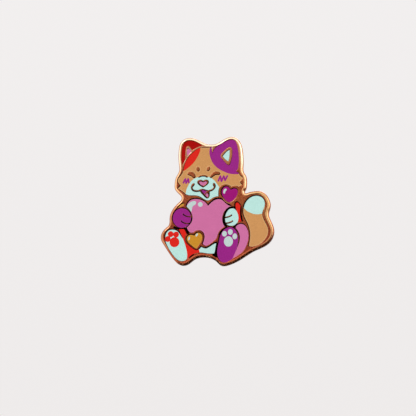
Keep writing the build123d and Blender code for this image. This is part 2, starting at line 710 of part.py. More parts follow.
def wing(side):
    """Finger wing: a barrel on the pivots, a flared finger plate and a toe beside the wire."""
    finger = trace(
        Spline((2.2, 4.72), (3.35, 5.25), (4.4, 6.5), (5.05, 8.35)), line_width=SHEET
    )
    toe = trace(Line((1.75, 4.5), (1.0, 4.02)), line_width=TOE_T)
    tip = Pos(5.05, 8.35) * Circle(WING_CURL_R)
    section = Pos(PIVOT_X, PIVOT_Y) * Circle(BARREL_R) + finger + toe + tip
    body = extrude(section, amount=WING_FLARE, both=True)
    blank = region(
        [(-WING_HALF_W, 3.0)],
        [(-WING_HALF_W, 5.1)],
        [(-2.45, 5.6), (-WING_FLARE + 0.02, 6.3), (-WING_FLARE + 0.02, 7.2), (-2.3, 8.1),
         (-1.4, 8.62), (0.0, 8.75), (1.4, 8.62), (2.3, 8.1), (WING_FLARE - 0.02, 7.2),
         (WING_FLARE - 0.02, 6.3), (2.45, 5.6), (WING_HALF_W, 5.1)],
        [(WING_HALF_W, 3.0)],
    )
    side_on = Plane(origin=(0, 0, 0), x_dir=(0, 0, 1), z_dir=(-1, 0, 0))
    body &= side_on * extrude(blank, amount=-DISC_R - 2)
    for z in (-1, 1):
        body -= Pos(PIVOT_X, PIVOT_Y, z * WING_HALF_W) * Cylinder(PIN_R + PIN_PLAY, 1.1)
        body -= Pos(0, GROOVE_Y + 0.1, z * (WING_HALF_W - 0.2)) * Box(3.3, 0.7, 1.4)
    return body if side > 0 else mirror(body, Plane.YZ)


def spring():
    """Hairpin wire: two legs in the groove of the post, joined by a bow."""
    x = GROOVE_R + WIRE_R
    end = LEG_IN + SHEET - WIRE_END
    path = Line((-x, end), (-x, -BOW_START)) + RadiusArc((-x, -BOW_START), (x, -BOW_START), -x)
    path += Line((x, -BOW_START), (x, end))
    level = Plane(origin=(0, GROOVE_Y, 0), x_dir=(1, 0, 0), z_dir=(0, -1, 0))
    wire_path = level * path
    start = Plane(origin=wire_path @ 0, z_dir=wire_path % 0)
    return sweep(start * Circle(WIRE_R), wire_path)


# ---------------------------------------------------------------- build


cells = all_cells()
save("metal_base", metal_base(cells), COPPER)
enamel_top = PLATE_T - ENAMEL_DROP
for name, cell in cells.items():
    save(name, slab(cell, PLATE_T - CELL_DEPTH, enamel_top), ENAMEL_COLOUR[name])
for name, (cell_name, shape, colour) in all_prints().items():
    save(name, slab(cells[cell_name] & shape, enamel_top, enamel_top + FILM_T), colour)
for level, z in (("upper", POST_Z), ("lower", -POST_Z)):
    place = Pos(0, 0, z)
    save(f"post_{level}", place * post(), STEEL)
    save(f"solder_{level}", place * solder(), SOLDER)
    save(f"clutch_{level}_disc", place * disc(), BRASS)
    save(f"clutch_{level}_bridge", place * bridge(), BRASS)
    save(f"clutch_{level}_spring", place * spring(), STEEL)
    save(f"clutch_{level}_wing_left", place * wing(-1), BRASS)
    save(f"clutch_{level}_wing_right", place * wing(1), BRASS)
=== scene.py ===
import json
import math

import bmesh
import bpy
import numpy as np
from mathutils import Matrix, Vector, geometry, kdtree

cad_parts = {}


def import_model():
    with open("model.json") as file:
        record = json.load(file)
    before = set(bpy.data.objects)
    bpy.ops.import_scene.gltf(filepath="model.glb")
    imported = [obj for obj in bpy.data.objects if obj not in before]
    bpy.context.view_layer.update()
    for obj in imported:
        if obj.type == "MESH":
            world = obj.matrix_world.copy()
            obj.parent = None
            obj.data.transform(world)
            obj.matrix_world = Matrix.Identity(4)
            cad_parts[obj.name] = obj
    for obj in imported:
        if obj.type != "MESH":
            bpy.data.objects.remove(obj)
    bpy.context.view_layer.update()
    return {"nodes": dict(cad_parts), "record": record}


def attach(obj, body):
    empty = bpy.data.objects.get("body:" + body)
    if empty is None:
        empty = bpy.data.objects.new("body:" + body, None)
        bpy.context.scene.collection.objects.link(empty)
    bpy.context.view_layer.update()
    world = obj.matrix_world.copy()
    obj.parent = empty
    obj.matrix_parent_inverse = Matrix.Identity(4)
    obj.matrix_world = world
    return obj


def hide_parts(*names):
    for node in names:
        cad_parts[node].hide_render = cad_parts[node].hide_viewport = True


# Lengths inside the shape functions are millimetres: x to the right, z up, and heights counted
# forward from the back face of the badge (its front faces -Y). Meshes are written in metres.

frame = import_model()
nodes = frame["nodes"]
slot_of = {part["node"]: part["material_slot"] for part in frame["record"]["subparts"]}

MM = 0.001
STEP = 0.13  # spacing of the points along every outline
SEAT_STEP = 0.3  # the same along the post seats in the back
CORNER = math.radians(42)  # sharper turns than this stay sharp
WELDS = 5000  # CAD points that agree to 1 / 5000 mm are one point

# Heights at which the CAD faces lie whose outlines are read
CAD_BACK = 0.0
CAD_ENAMEL = 1.52
CAD_FILM = 1.55

# The struck metal
CELL_FLOOR = 1.10
CELL_EDGE = 1.53  # where metal and enamel meet
FLAT = 1.60  # level of the raised lines and the plain copper
SHOULDER = 0.16  # width over which the metal rounds down into a cell
RIM_FOOT = 1.20
RIM_TOP = 1.67
RIM_CREST = 0.66  # distance of the crest of the border from its outer edge
RIM_FULLNESS = 1.35  # 1 is a flat chamfer, 2 a quarter round
RIM_INNER = 0.92  # where the border has come down to the plain copper
SEAT_DEPTH = 0.25
SIDE_ROWS = ((0, 0.85), (0, 0.5), (0, 0.14), (0.03, 0.05), (0.12, 0.0), (0.24, 0.0))  # (inset, height)
SIDE_END = 0.1  # below this height the side rounds over into the back

# The enamel and the printed films
ENAMEL = 1.515
CLIMB = 0.016  # how far the enamel creeps up the metal round its edge
CLIMB_REACH = 0.09
CALM_REACH = 0.3  # how far from the metal its ripples begin
EDGE_REACH = 0.16  # how far the painted edge reaches into a colour
FILM = 0.012
FILM_LIP = 0.003  # thickness of a film at its very edge
FILM_ROUND = 0.05  # width over which it thins out
FILM_SUNK = 0.01  # how far its underside is sunk into the enamel

# Mesh points: rows at these distances from an outline, and a loose field between them. A point of a
# row stays only if it keeps this share of its distance from every outline, and no point stays that is
# closer than clear to an outline, or than gap to another point.
RIM_ROWS = (0.02, 0.06, 0.12, 0.2, 0.3, 0.42, 0.54, 0.65, 0.76, 0.85, 0.93, 1.01, 1.10)
RIM_SHARE = 0.96
RIM_CLEAR = 0.015
CELL_ROWS = (0.03, 0.08, 0.15, 0.24, 0.36)
CELL_SHARE = 0.9
CELL_CLEAR = 0.025
METAL_GAP = 0.055
METAL_FIELD = 0.25
COLOUR_SHARE = 0.92
COLOUR_FIELD = 0.5
FILL_MESH = {"distances": (0.05, 0.11, 0.2, 0.36), "clear": 0.03, "gap": 0.07}
FILM_MESH = {"distances": (0.04, 0.11, 0.2, 0.36), "clear": 0.025, "gap": 0.06}
FIELD_ROW = 0.87  # spacing of a field's staggered rows, by that of its points

# Edges that turn by more degrees than this are shaded sharp
METAL_SHARP = 38
FILL_SHARP = 40
FILM_SHARP = 60

# What is painted on the metal: its polish, with painted highlights and painted shade in it
PLAIN_POLISH = 0.3  # polish of the plain copper, where the border has 1
EDGE_POLISH = 0.34  # the same at the very edge of the border
WALL_POLISH = 0.62  # the same of the side and back
GLINT_POLISH = 0.7  # the same on the lines of painted highlight
POLISH_STOPS = (0, 0.15, 0.27, 0.52, 0.66)  # distances from the outer edge where the polish changes
BRIGHT_REACH = ((5, 12), (1.0, 1.45))  # the painted highlight of the bright band is wider towards the right
PAINTED_SHADE = 0.24  # width of the painted shade, a dark line standing in for the dark reflection in the corner beside the enamel
PAINTED_SHADE_LEAN = (0.50, -0.60)  # the painted shade is wider on the slopes that face this way, narrower on the others
SHADE_SPREAD = 0.9  # how much wider the painted shade is round the paws and the big heart
SHADE_CENTRE = (0.5, -5.0)
SHADE_RADIUS = 8.0
LESS_SHADE_ABOVE = ((7, 11), (1.0, 0.45))  # and how much narrower the painted shade is towards the top
LINE_FADE = 0.14  # width over which a painted line fades out at its sides
FLANK_REACH = 0.60  # the sheared look of the side, a bump with painted glints and painted dark reflections, comes this far over the border
FLANK_FADE = 0.12

# Painted shade: near-black lines painted into the narrow metal between the paws, the chin and the hearts, for
# its dark reflection: (half width, line)
DARK_REFLECTION_LINES = (
    (
        0.26,
        ((6.7, -2.75), (6.0, -2.62), (5.2, -2.8), (4.5, -3.25), (3.95, -4.05), (3.62, -5.0))
        + ((3.5, -6.1), (3.62, -7.1), (4.05, -7.9)),
    ),
    (
        0.20,
        ((0.5, -0.35), (1.0, -0.08), (1.9, 0.08), (2.75, -0.05), (3.3, -0.42), (3.9, -1.0))
        + ((4.5, -1.55), (5.15, -2.0)),
    ),
    (
        0.24,
        ((-10.9, -8.1), (-10.2, -8.4), (-9.5, -8.5), (-8.7, -8.47), (-8.0, -8.4), (-7.5, -8.75))
        + ((-7.15, -9.3), (-6.95, -9.85)),
    ),
    (0.12, ((-5.95, -5.6), (-6.15, -6.5), (-6.6, -7.3), (-7.2, -7.95))),
    (0.18, ((2.2, -10.4), (2.55, -9.75), (3.1, -9.15), (3.85, -8.65), (4.3, -8.35))),
    (0.14, ((6.4, -8.25), (6.95, -7.95), (7.35, -7.5))),
    (0.18, ((1.5, -13.1), (1.3, -14.2), (1.15, -15.3), (1.05, -16.2), (1.25, -16.9))),
    (0.32, ((0.6, -16.3), (1.1, -16.6))),
    (0.13, ((-1.6, -14.15), (-0.8, -13.8), (0.0, -13.25), (0.8, -12.8), (1.3, -12.65))),
    (0.13, ((8.45, -2.3), (8.45, -3.4), (8.45, -4.6), (8.65, -5.8), (8.8, -6.6))),
    (0.10, ((-6.4, -16.95), (-5.9, -16.5), (-5.3, -16.1))),
)
# Painted highlights, lines painted bright: under the cheek heart, along the brow, round the left inner ear,
# in the notch between brow and right ear, and inside the border of the tail
GLINT_LINES = (
    (0.06, ((3.2, 0.15), (3.9, -0.75), (4.6, -1.25), (5.1, -1.42), (5.7, -1.2), (6.5, -0.6), (7.2, 0.2))),
    (
        0.03,
        ((-8.35, 9.9), (-7.9, 11.2), (-7.2, 12.4), (-6.3, 13.5), (-5.2, 14.4), (-4.0, 15.0))
        + ((-2.8, 15.35), (-1.2, 15.5)),
    ),
    (0.03, ((-7.52, 12.6), (-7.5, 14.2), (-7.2, 15.1), (-6.9, 15.3), (-6.45, 14.95), (-5.9, 14.2))),
    (0.12, ((0.16, 15.6), (0.18, 14.7))),
    (
        0.16,
        ((15.15, -2.75), (15.2, -3.6), (15.3, -4.5), (15.6, -5.5), (15.95, -6.35), (16.4, -7.2))
        + ((16.75, -8.0),),
    ),
)

# The enamel cell that each printed film lies in
FILM_CELL = {
    "print_forehead_patch": "enamel_face",
    "print_ear_patch": "enamel_face",
    "print_muzzle": "enamel_face",
    "print_blush_left": "enamel_face",
    "print_blush_right": "enamel_face",
    "print_cheek_heart_shine": "enamel_cheek_heart",
    "print_big_heart_shine": "enamel_big_heart",
    "print_gold_heart_shine": "enamel_gold_heart",
    "print_side": "enamel_hand_right",
    "print_leg": "enamel_foot_left",
    "print_paw_pads_left": "enamel_foot_left",
    "print_thigh": "enamel_foot_right",
    "print_paw_pads_right": "enamel_foot_right",
    "print_tail_tip": "enamel_tail",
}

# The clutches keep their CAD shape, with the edges of their sheet metal eased
EASED = 0.05
EASED_ANGLE = math.radians(35)  # only where the surface turns by more than this
CLUTCH_WELD = 0.001


# ---------------------------------------------------------------- outlines


def area(ring):
    ahead = np.roll(ring, -1, axis=0)
    return 0.5 * float(np.sum(ring[:, 0] * ahead[:, 1] - ring[:, 1] * ahead[:, 0]))


def flat_loops(node, level):
    """Closed outlines of the faces of a CAD node that lie at one height; the face is on the left."""
    mesh = nodes[node].data
    co = np.zeros(len(mesh.vertices) * 3)
    mesh.vertices.foreach_get("co", co)
    co = co.reshape(-1, 3) / MM
    keys = np.round(co * WELDS).astype(np.int64)
    _, first, same = np.unique(keys, axis=0, return_index=True, return_inverse=True)
    same = same.ravel()
    level_on = np.abs(co[:, 1] + level) < 1e-3
    ahead = {}
    for face in mesh.polygons:
        if all(level_on[v] for v in face.vertices):
            ring = [int(same[v]) for v in face.vertices]
            ahead.update(dict.fromkeys(zip(ring, ring[1:] + ring[:1])))
    # an edge that only one of the faces has is on an outline
    follow = {a: b for a, b in ahead if (b, a) not in ahead}
    loops = []
    while follow:
        start, point = follow.popitem()
        ring = [start]
        while point != start:
            ring.append(point)
            point = follow.pop(point)
        loops.append(co[first[ring]][:, [0, 2]])
    return sorted(loops, key=lambda ring: -abs(area(ring)))


def smooth(ring, step=STEP):
    """A cubic through the same points, spaced finely and evenly. Gives its points and which are corners."""
    back = ring - np.roll(ring, 1, axis=0)
    fore = np.roll(back, -1, axis=0)
    h0 = np.linalg.norm(back, axis=1)[:, None]
    h1 = np.linalg.norm(fore, axis=1)[:, None]
    u0, u1 = back / h0, fore / h1
    turn = np.arccos(np.clip(np.sum(u0 * u1, axis=1), -1, 1))
    corner = turn > CORNER
    tangent = (u1 * h0 + u0 * h1) / (h0 + h1)
    ahead = np.roll(tangent, -1, axis=0)
    out_dir = np.where(corner[:, None], 1.5 * u1 - 0.5 * ahead, tangent)
    in_dir = np.where(corner[:, None], 1.5 * u0 - 0.5 * np.roll(tangent, 1, axis=0), tangent)
    points, sharp = [], []
    for i, start in enumerate(ring):
        j = (i + 1) % len(ring)
        length = float(h1[i, 0])
        count = max(1, round(length / step))
        t = (np.arange(count) / count)[:, None]
        points.append(
            (2 * t**3 - 3 * t**2 + 1) * start
            + (t**3 - 2 * t**2 + t) * length * out_dir[i]
            + (3 * t**2 - 2 * t**3) * ring[j]
            + (t**3 - t**2) * length * in_dir[j]
        )
        sharp += [bool(corner[i])] + [False] * (count - 1)
    return np.concatenate(points), np.array(sharp)


def to_segment(points, a, b):
    """From each point to the nearest place on the segment from a to b."""
    along = b - a
    t = np.sum((points - a) * along, axis=1) / np.maximum(np.sum(along**2, axis=-1), 1e-12)
    return a + np.clip(t, 0, 1)[:, None] * along - points


class Edges:
    """Distances from a set of outlines."""

    def __init__(self, rings):
        self.at = np.concatenate(rings)
        self.ahead = np.concatenate([np.roll(r, -1, axis=0) for r in rings])
        self.behind = np.concatenate([np.roll(r, 1, axis=0) for r in rings])
        self.tree = kdtree.KDTree(len(self.at))
        for i, (x, z) in enumerate(self.at):
            self.tree.insert((x, z, 0), i)
        self.tree.balance()

    def offset(self, points):
        """From each point to the nearest place on the outlines."""
        near = [self.tree.find((x, z, 0))[1] for x, z in points]
        at = self.at[near]
        fore = to_segment(points, at, self.ahead[near])
        back = to_segment(points, at, self.behind[near])
        nearer = np.linalg.norm(fore, axis=1) < np.linalg.norm(back, axis=1)
        return np.where(nearer[:, None], fore, back)

    def distance(self, points):
        return np.linalg.norm(self.offset(points), axis=1)


def inside(points, rings):
    """True for the points within an odd number of the outlines."""
    odd = np.zeros(len(points), bool)
    for ring in rings:
        ahead = np.roll(ring, -1, axis=0)
        for (ax, az), (bx, bz) in zip(ring, ahead):
            if az != bz:
                crosses = (az > points[:, 1]) != (bz > points[:, 1])
                odd ^= crosses & (points[:, 0] < (bx - ax) * (points[:, 1] - az) / (bz - az) + ax)
    return odd


# ---------------------------------------------------------------- mesh points of a flat region


def offset_points(ring, sharp, distance):
    """Points at a distance on the left of an outline, fanned round its corners."""
    fore = np.roll(ring, -1, axis=0) - ring
    fore /= np.linalg.norm(fore, axis=1)[:, None]
    left = np.stack([-fore[:, 1], fore[:, 0]], axis=1)
    left_before = np.roll(left, 1, axis=0)
    found = []
    for share in (0.5, 0.0, 0.25, 0.75, 1.0):
        normal = left_before * (1 - share) + left * share
        normal /= np.maximum(np.linalg.norm(normal, axis=1), 1e-9)[:, None]
        keep = slice(None) if share == 0.5 else sharp
        found.append((ring + normal * distance)[keep])
    return np.concatenate(found)


def rows_along(loops, edges, distances, share):
    """Rows of points along outlines, without those that lie nearer to another stretch of them."""
    rows = []
    for distance in distances:
        for ring, sharp in loops:
            near = offset_points(ring, sharp, distance)
            rows.append(near[edges.distance(near) > share * distance])
    return rows


def beside(line, away):
    """Even points on both sides of a line."""
    rows = []
    for a, b in zip(np.array(line), np.array(line)[1:]):
        span = b - a
        length = np.linalg.norm(span)
        side = np.array((-span[1], span[0])) * away / length
        way = a + np.arange(0, 1, STEP / length)[:, None] * span
        rows += [way + side, way - side]
    return np.concatenate(rows)


def scattered(ring, gap):
    """A staggered field of points over the box of an outline."""
    low, high = ring.min(axis=0), ring.max(axis=0)
    xs = np.arange(low[0], high[0], gap)
    zs = np.arange(low[1], high[1], gap * FIELD_ROW)
    grid = [(x + (gap / 2 if row % 2 else 0), z) for row, z in enumerate(zs) for x in xs]
    return np.array(grid).reshape(-1, 2)


def thinned(points, fixed, gap):
    """Those points that are no closer than the gap to a fixed point or to each other."""
    cells = {}
    for x, z in fixed:
        cells.setdefault((int(x // gap), int(z // gap)), []).append((x, z))
    kept = []
    for x, z in points:
        i, j = int(x // gap), int(z // gap)
        near = [p for a in (i - 1, i, i + 1) for b in (j - 1, j, j + 1) for p in cells.get((a, b), ())]
        if all((x - p) ** 2 + (z - q) ** 2 > gap * gap for p, q in near):
            kept.append((x, z))
            cells.setdefault((i, j), []).append((x, z))
    return np.array(kept).reshape(-1, 2)


def triangulated(rings, free=()):
    """Triangles of the region within the outlines. Gives the points, triangles and ring indices."""
    fixed = np.concatenate(rings)
    points = np.concatenate([fixed, free]) if len(free) else fixed
    links, start = [], 0
    for ring in rings:
        count = len(ring)
        links += [(start + i, start + (i + 1) % count) for i in range(count)]
        start += count
    flat = [Vector((float(x), float(z))) for x, z in points]
    out, _, faces, origin, _, _ = geometry.delaunay_2d_cdt(flat, links, [], 0, 1e-7)
    out = np.array([tuple(p) for p in out])
    kept = inside(out[np.array(faces)].mean(axis=1), rings)
    faces = [face for face, is_in in zip(faces, kept) if is_in]
    place = {source: i for i, sources in enumerate(origin) for source in sources}
    indices, start = [], 0
    for ring in rings:
        indices.append([place[start + i] for i in range(len(ring))])
        start += len(ring)
    return out, faces, indices


# ---------------------------------------------------------------- meshes


class Shell:
    """Faces over vertices in millimetres, (x, height, z), with painted values for its material."""

    def __init__(self, *channels):
        self.points, self.faces = [], []
        self.paint = {channel: [] for channel in channels}

    def add(self, flat, height, **paint):
        start = len(self.points)
        heights = np.broadcast_to(height, len(flat))
        self.points += [(x, h, z) for (x, z), h in zip(flat, heights)]
        for channel, values in self.paint.items():
            values += list(np.broadcast_to(paint.get(channel, 0.0), len(flat)))
        return np.arange(start, start + len(flat))

    def fill(self, indices, faces, facing_front=True):
        for face in faces:
            ring = [int(indices[v]) for v in face]
            self.faces.append(ring if facing_front else ring[::-1])

    def wall(self, front, back):
        """Quads between two rings; the solid is on the left of their direction."""
        count = len(front)
        for i in range(count):
            j = (i + 1) % count
            self.faces.append([int(front[i]), int(back[i]), int(back[j]), int(front[j])])

    def build(self, name, material, sharp_angle):
        mesh = bpy.data.meshes.new(name)
        mesh.from_pydata([(x * MM, -h * MM, z * MM) for x, h, z in self.points], [], self.faces)
        for channel, values in self.paint.items():
            layer = mesh.attributes.new(channel, "FLOAT", "POINT")
            layer.data.foreach_set("value", np.array(values, np.float32))
        mesh.polygons.foreach_set("use_smooth", [True] * len(mesh.polygons))
        mesh.set_sharp_from_angle(angle=math.radians(sharp_angle))
        mesh.materials.append(material)
        obj = bpy.data.objects.new(name, mesh)
        bpy.context.scene.collection.objects.link(obj)
        return obj


def quarter(t):
    """0 to 1 along a quarter circle."""
    return np.sqrt(np.clip(1 - (1 - np.clip(t, 0, 1)) ** 2, 0, 1))


# ---------------------------------------------------------------- the struck metal


def metal_height(to_rim, to_cell):
    """Rounded border, then plain copper, both rounding down into every cell."""
    left = 1 - np.clip(to_rim / RIM_CREST, 0, 1)
    swell = np.clip(1 - left**RIM_FULLNESS, 0, 1) ** (1 / RIM_FULLNESS)
    rising = RIM_FOOT + (RIM_TOP - RIM_FOOT) * swell
    t = np.clip((to_rim - RIM_CREST) / (RIM_INNER - RIM_CREST), 0, 1)
    falling = RIM_TOP - (RIM_TOP - FLAT) * (1 - np.cos(np.pi * t)) / 2
    body = np.where(to_rim < RIM_CREST, rising, falling)
    return CELL_EDGE + (body - CELL_EDGE) * quarter(to_cell / SHOULDER)


def on_lines(points, lines):
    """1 on the given lines, fading to 0 beside them."""
    share = np.zeros(len(points))
    for half_width, line in lines:
        for a, b in zip(np.array(line), np.array(line)[1:]):
            away = np.linalg.norm(to_segment(points, a, b), axis=1)
            share = np.maximum(share, np.clip(1 - (away - half_width) / LINE_FADE, 0, 1))
    return share


def polish_of(points, to_rim, to_cell):
    """Painted polish with painted light and shade: a painted highlight along the border, plain inside it,
    painted shade in the corners of cells and on the dark lines, and painted highlights on the glint lines.
    """
    levels = (EDGE_POLISH, EDGE_POLISH, 1.0, 1.0, PLAIN_POLISH)
    reach = np.interp(points[:, 0], *BRIGHT_REACH)
    polish = np.interp(to_rim / reach, POLISH_STOPS, levels)
    distance = np.maximum(np.linalg.norm(to_cell, axis=1), 1e-6)
    lean = to_cell @ np.array(PAINTED_SHADE_LEAN) / distance
    widening = 1 + SHADE_SPREAD * np.exp(-np.sum((points - SHADE_CENTRE) ** 2, axis=1) / SHADE_RADIUS**2)
    width = PAINTED_SHADE * (1 + lean) * widening * np.interp(points[:, 1], *LESS_SHADE_ABOVE)
    polish = polish * np.clip(distance / width, 0, 1) * (1 - on_lines(points, DARK_REFLECTION_LINES))
    return np.maximum(polish, GLINT_POLISH * on_lines(points, GLINT_LINES))


def metal_front(shell, outline, cells):
    """The struck face. Gives the indices along the outer edge, then those along each edge of a cell."""
    rim = outline[0]
    rings = [rim] + [ring for cell in cells for ring, _ in cell]
    # an outline runs with its own region on the left, so the metal is left of a reversed cell
    around = [(ring[::-1], sharp[::-1]) for cell in cells for ring, sharp in cell]
    rim_edges = Edges([rim])
    cell_edges = Edges(rings[1:])
    rows = rows_along([outline], rim_edges, RIM_ROWS, RIM_SHARE)
    rows += rows_along(around, cell_edges, CELL_ROWS, CELL_SHARE)
    for half_width, line in DARK_REFLECTION_LINES + GLINT_LINES:
        rows += [beside(line, half_width), beside(line, half_width + LINE_FADE)]
    free = np.concatenate(rows + [scattered(rim, METAL_FIELD)])
    free = free[(cell_edges.distance(free) > CELL_CLEAR) & (rim_edges.distance(free) > RIM_CLEAR)]
    free = thinned(free[inside(free, rings)], np.concatenate(rings), METAL_GAP)
    flat, faces, ring_ids = triangulated([rim] + [ring for ring, _ in around], free)
    to_rim = rim_edges.distance(flat)
    to_cell = cell_edges.offset(flat)
    height = metal_height(to_rim, np.linalg.norm(to_cell, axis=1))
    flank = np.clip((FLANK_REACH - to_rim) / FLANK_FADE, 0, 1)
    front = shell.add(flat, height, crest=polish_of(flat, to_rim, to_cell), flank=flank)
    shell.fill(front, faces)
    return [front[ids] for ids in ring_ids]


def metal_cells(shell, cells, edges):
    """The walls and the floor of every cell, from the indices along its edges."""
    edges = iter(edges)
    for cell in cells:
        rings = [ring for ring, _ in cell]
        corners = []
        for ring in rings:
            foot = shell.add(ring[::-1], CELL_FLOOR)
            shell.wall(next(edges), foot)
            corners.append(foot[::-1])
        _, faces, places = triangulated(rings)
        shell.fill(dict(zip(np.concatenate(places), np.concatenate(corners))), faces)


def metal_side(shell, rim, row):
    """The side, rounded over into the back. Gives its last ring, as points and as indices."""
    for inset, height in SIDE_ROWS:
        last = offset_points(rim, np.zeros(len(rim), bool), inset)
        behind = shell.add(last, height, crest=WALL_POLISH, flank=float(height > SIDE_END))
        shell.wall(row, behind)
        row = behind
    return last, row


def metal_back(shell, ring, row, seats):
    """The flat back, with a sunk seat for each post."""
    _, faces, places = triangulated([ring] + seats)
    back = dict(zip(places[0], row))
    for seat, seat_places in zip(seats, places[1:]):
        lip = shell.add(seat, 0.0, crest=WALL_POLISH)
        back.update(zip(seat_places, lip))
        deep = shell.add(seat, SEAT_DEPTH, crest=WALL_POLISH)
        shell.wall(deep, lip)
        _, deep_faces, deep_places = triangulated([seat[::-1]])
        shell.fill(dict(zip(deep_places[0], deep[::-1])), deep_faces, False)
    shell.fill(back, faces, False)


def make_metal(cells, material):
    outline, *seats = flat_loops("metal_base", CAD_BACK)
    outline = smooth(outline if area(outline) > 0 else outline[::-1])
    seats = [smooth(seat, SEAT_STEP)[0] for seat in seats[:2]]
    shell = Shell("crest", "flank")
    edge, *cell_edges = metal_front(shell, outline, cells)
    metal_cells(shell, cells, cell_edges)
    ring, row = metal_side(shell, outline[0], edge)
    metal_back(shell, ring, row, [seat if area(seat) < 0 else seat[::-1] for seat in seats])
    obj = shell.build("struck_metal", material, METAL_SHARP)
    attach(obj, "badge")
    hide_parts("metal_base")


# ---------------------------------------------------------------- enamel and printed films


def ripple(points):
    """The slow unevenness of a hand-filled surface."""
    x, z = points[:, 0], points[:, 1]
    return (
        0.0022 * np.sin(1.9 * x + 0.7 * z + 1.0)
        + 0.0018 * np.sin(-1.1 * x + 2.3 * z)
        + 0.0012 * np.sin(3.1 * x - 2.7 * z + 2.0)
    )


def enamel_height(points, to_metal):
    """Level, a little uneven, and drawn up where it meets the metal."""
    calm = 1 - np.exp(-to_metal / CALM_REACH)
    return ENAMEL + CLIMB * np.exp(-to_metal / CLIMB_REACH) + calm * ripple(points)


def colour_region(loops, distances, clear, gap):
    """The flat mesh of one colour. Gives its edges, points, triangles and ring indices."""
    rings = [ring for ring, _ in loops]
    edges = Edges(rings)
    every = np.concatenate(rings)
    rows = rows_along(loops, edges, distances, COLOUR_SHARE)
    free = np.concatenate(rows + [scattered(every, COLOUR_FIELD)])
    free = free[inside(free, rings) & (edges.distance(free) > clear)]
    return edges, *triangulated(rings, thinned(free, every, gap))


def colour_piece(name, node, region, front_height, back_height, to_metal, sharp_angle):
    """The closed solid over a region of one colour."""
    flat, faces, ring_ids = region
    shell = Shell("edge")
    front = shell.add(flat, front_height, edge=np.exp(-to_metal / EDGE_REACH))
    shell.fill(front, faces)
    back = shell.add(flat, back_height)
    shell.fill(back, faces, False)
    for ids in ring_ids:
        shell.wall(front[ids], back[ids])
    slot = slot_of[node]
    obj = shell.build(name, looks[slot], sharp_angle)
    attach(obj, "badge")
    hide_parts(node)


def make_fill(node, cell):
    """Enamel in one cell."""
    edges, *region = colour_region(cell, **FILL_MESH)
    to_metal = edges.distance(region[0])
    height = enamel_height(region[0], to_metal)
    colour_piece(node.replace("enamel_", "fill_"), node, region, height, CELL_FLOOR, to_metal, FILL_SHARP)


def make_film(node, cell):
    """Printed colour: a thin skin that follows the enamel and thins out at its own edge."""
    loops = [smooth(ring) for ring in flat_loops(node, CAD_FILM)]
    edges, *region = colour_region(loops, **FILM_MESH)
    flat = region[0]
    to_metal = Edges([ring for ring, _ in cell]).distance(flat)
    under = enamel_height(flat, to_metal)
    height = under + FILM_LIP + (FILM - FILM_LIP) * quarter(edges.distance(flat) / FILM_ROUND)
    sunk = under - FILM_SUNK
    colour_piece(node.replace("print_", "film_"), node, region, height, sunk, to_metal, FILM_SHARP)


# ---------------------------------------------------------------- materials


def srgb(r, g, b):
    """Linear colour from 0-255 values."""
    return tuple(((v / 255 + 0.055) / 1.055) ** 2.4 if v > 10 else v / 255 / 12.92 for v in (r, g, b)) + (1,)


def scaled(colour, k):
    return tuple(min(1.0, c * k) for c in colour[:3]) + (1,)


class Wiring:
    """A tree of shader nodes being wired up."""

    def __init__(self, tree, space):
        self.tree = tree
        self.coords = tree.nodes.new("ShaderNodeTexCoord").outputs[space]

    def add(self, kind, inputs=(), **settings):
        made = self.tree.nodes.new("ShaderNode" + kind)
        for key, value in settings.items():
            setattr(made, key, value)
        for socket, value in dict(inputs).items():
            self.plug(made.inputs[socket], value)
        return made

    def plug(self, socket, value):
        if isinstance(value, bpy.types.NodeSocket):
            self.tree.links.new(value, socket)
        else:
            socket.default_value = value

    def axes(self):
        """The three coordinates of the point, or of the direction in the world."""
        return self.add("SeparateXYZ", {"Vector": self.coords}).outputs

    def ramp(self, value, *stops):
        """Colour stops as (position, colour)."""
        made = self.add("ValToRGB", {"Fac": value})
        for element, (position, colour) in zip(made.color_ramp.elements, stops):
            element.position = position
            element.color = colour
        return made.outputs["Color"]

    def levels(self, value, low, high, out_low=0.0, out_high=1.0, **settings):
        limits = {"Value": value, "From Min": low, "From Max": high, "To Min": out_low, "To Max": out_high}
        return self.add("MapRange", limits, **settings).outputs[0]

    def mix(self, share, a, b):
        made = self.add("Mix", {"Factor": share}, data_type="RGBA", clamp_factor=True)
        self.plug(made.inputs[6], a)
        self.plug(made.inputs[7], b)
        return made.outputs[2]

    def maths(self, operation, a, b):
        return self.add("Math", {0: a, 1: b}, operation=operation).outputs[0]


class Look(Wiring):
    """A material over the place on the object."""

    def __init__(self, name):
        self.material = bpy.data.materials.new(name)
        self.material.use_nodes = True
        super().__init__(self.material.node_tree, "Object")
        self.shader = self.tree.nodes["Principled BSDF"]

    def noise(self, size_mm, detail=2.0, rough=0.5, stretch=None):
        where = self.coords
        if stretch:
            where = self.add("Mapping", {"Vector": where, "Scale": stretch}).outputs[0]
        inputs = {"Vector": where, "Scale": 1 / (size_mm * MM), "Detail": detail, "Roughness": rough}
        return self.add("TexNoise", inputs).outputs["Fac"]

    def zone(self, axis, limits, outside=0.0, within=1.0):
        """Fades between two values from one place on an axis to another, in millimetres."""
        start, full = limits
        return self.levels(axis, start * MM, full * MM, outside, within)

    def painted(self, channel):
        return self.add("Attribute", attribute_name=channel).outputs["Fac"]

    def bump(self, height, depth_mm, strength=1.0):
        made = self.add("Bump", {"Height": height, "Distance": depth_mm * MM, "Strength": strength})
        self.plug(self.shader.inputs["Normal"], made.outputs["Normal"])

    def set(self, **values):
        for key, value in values.items():
            self.plug(self.shader.inputs[key.replace("_", " ")], value)
        return self.material


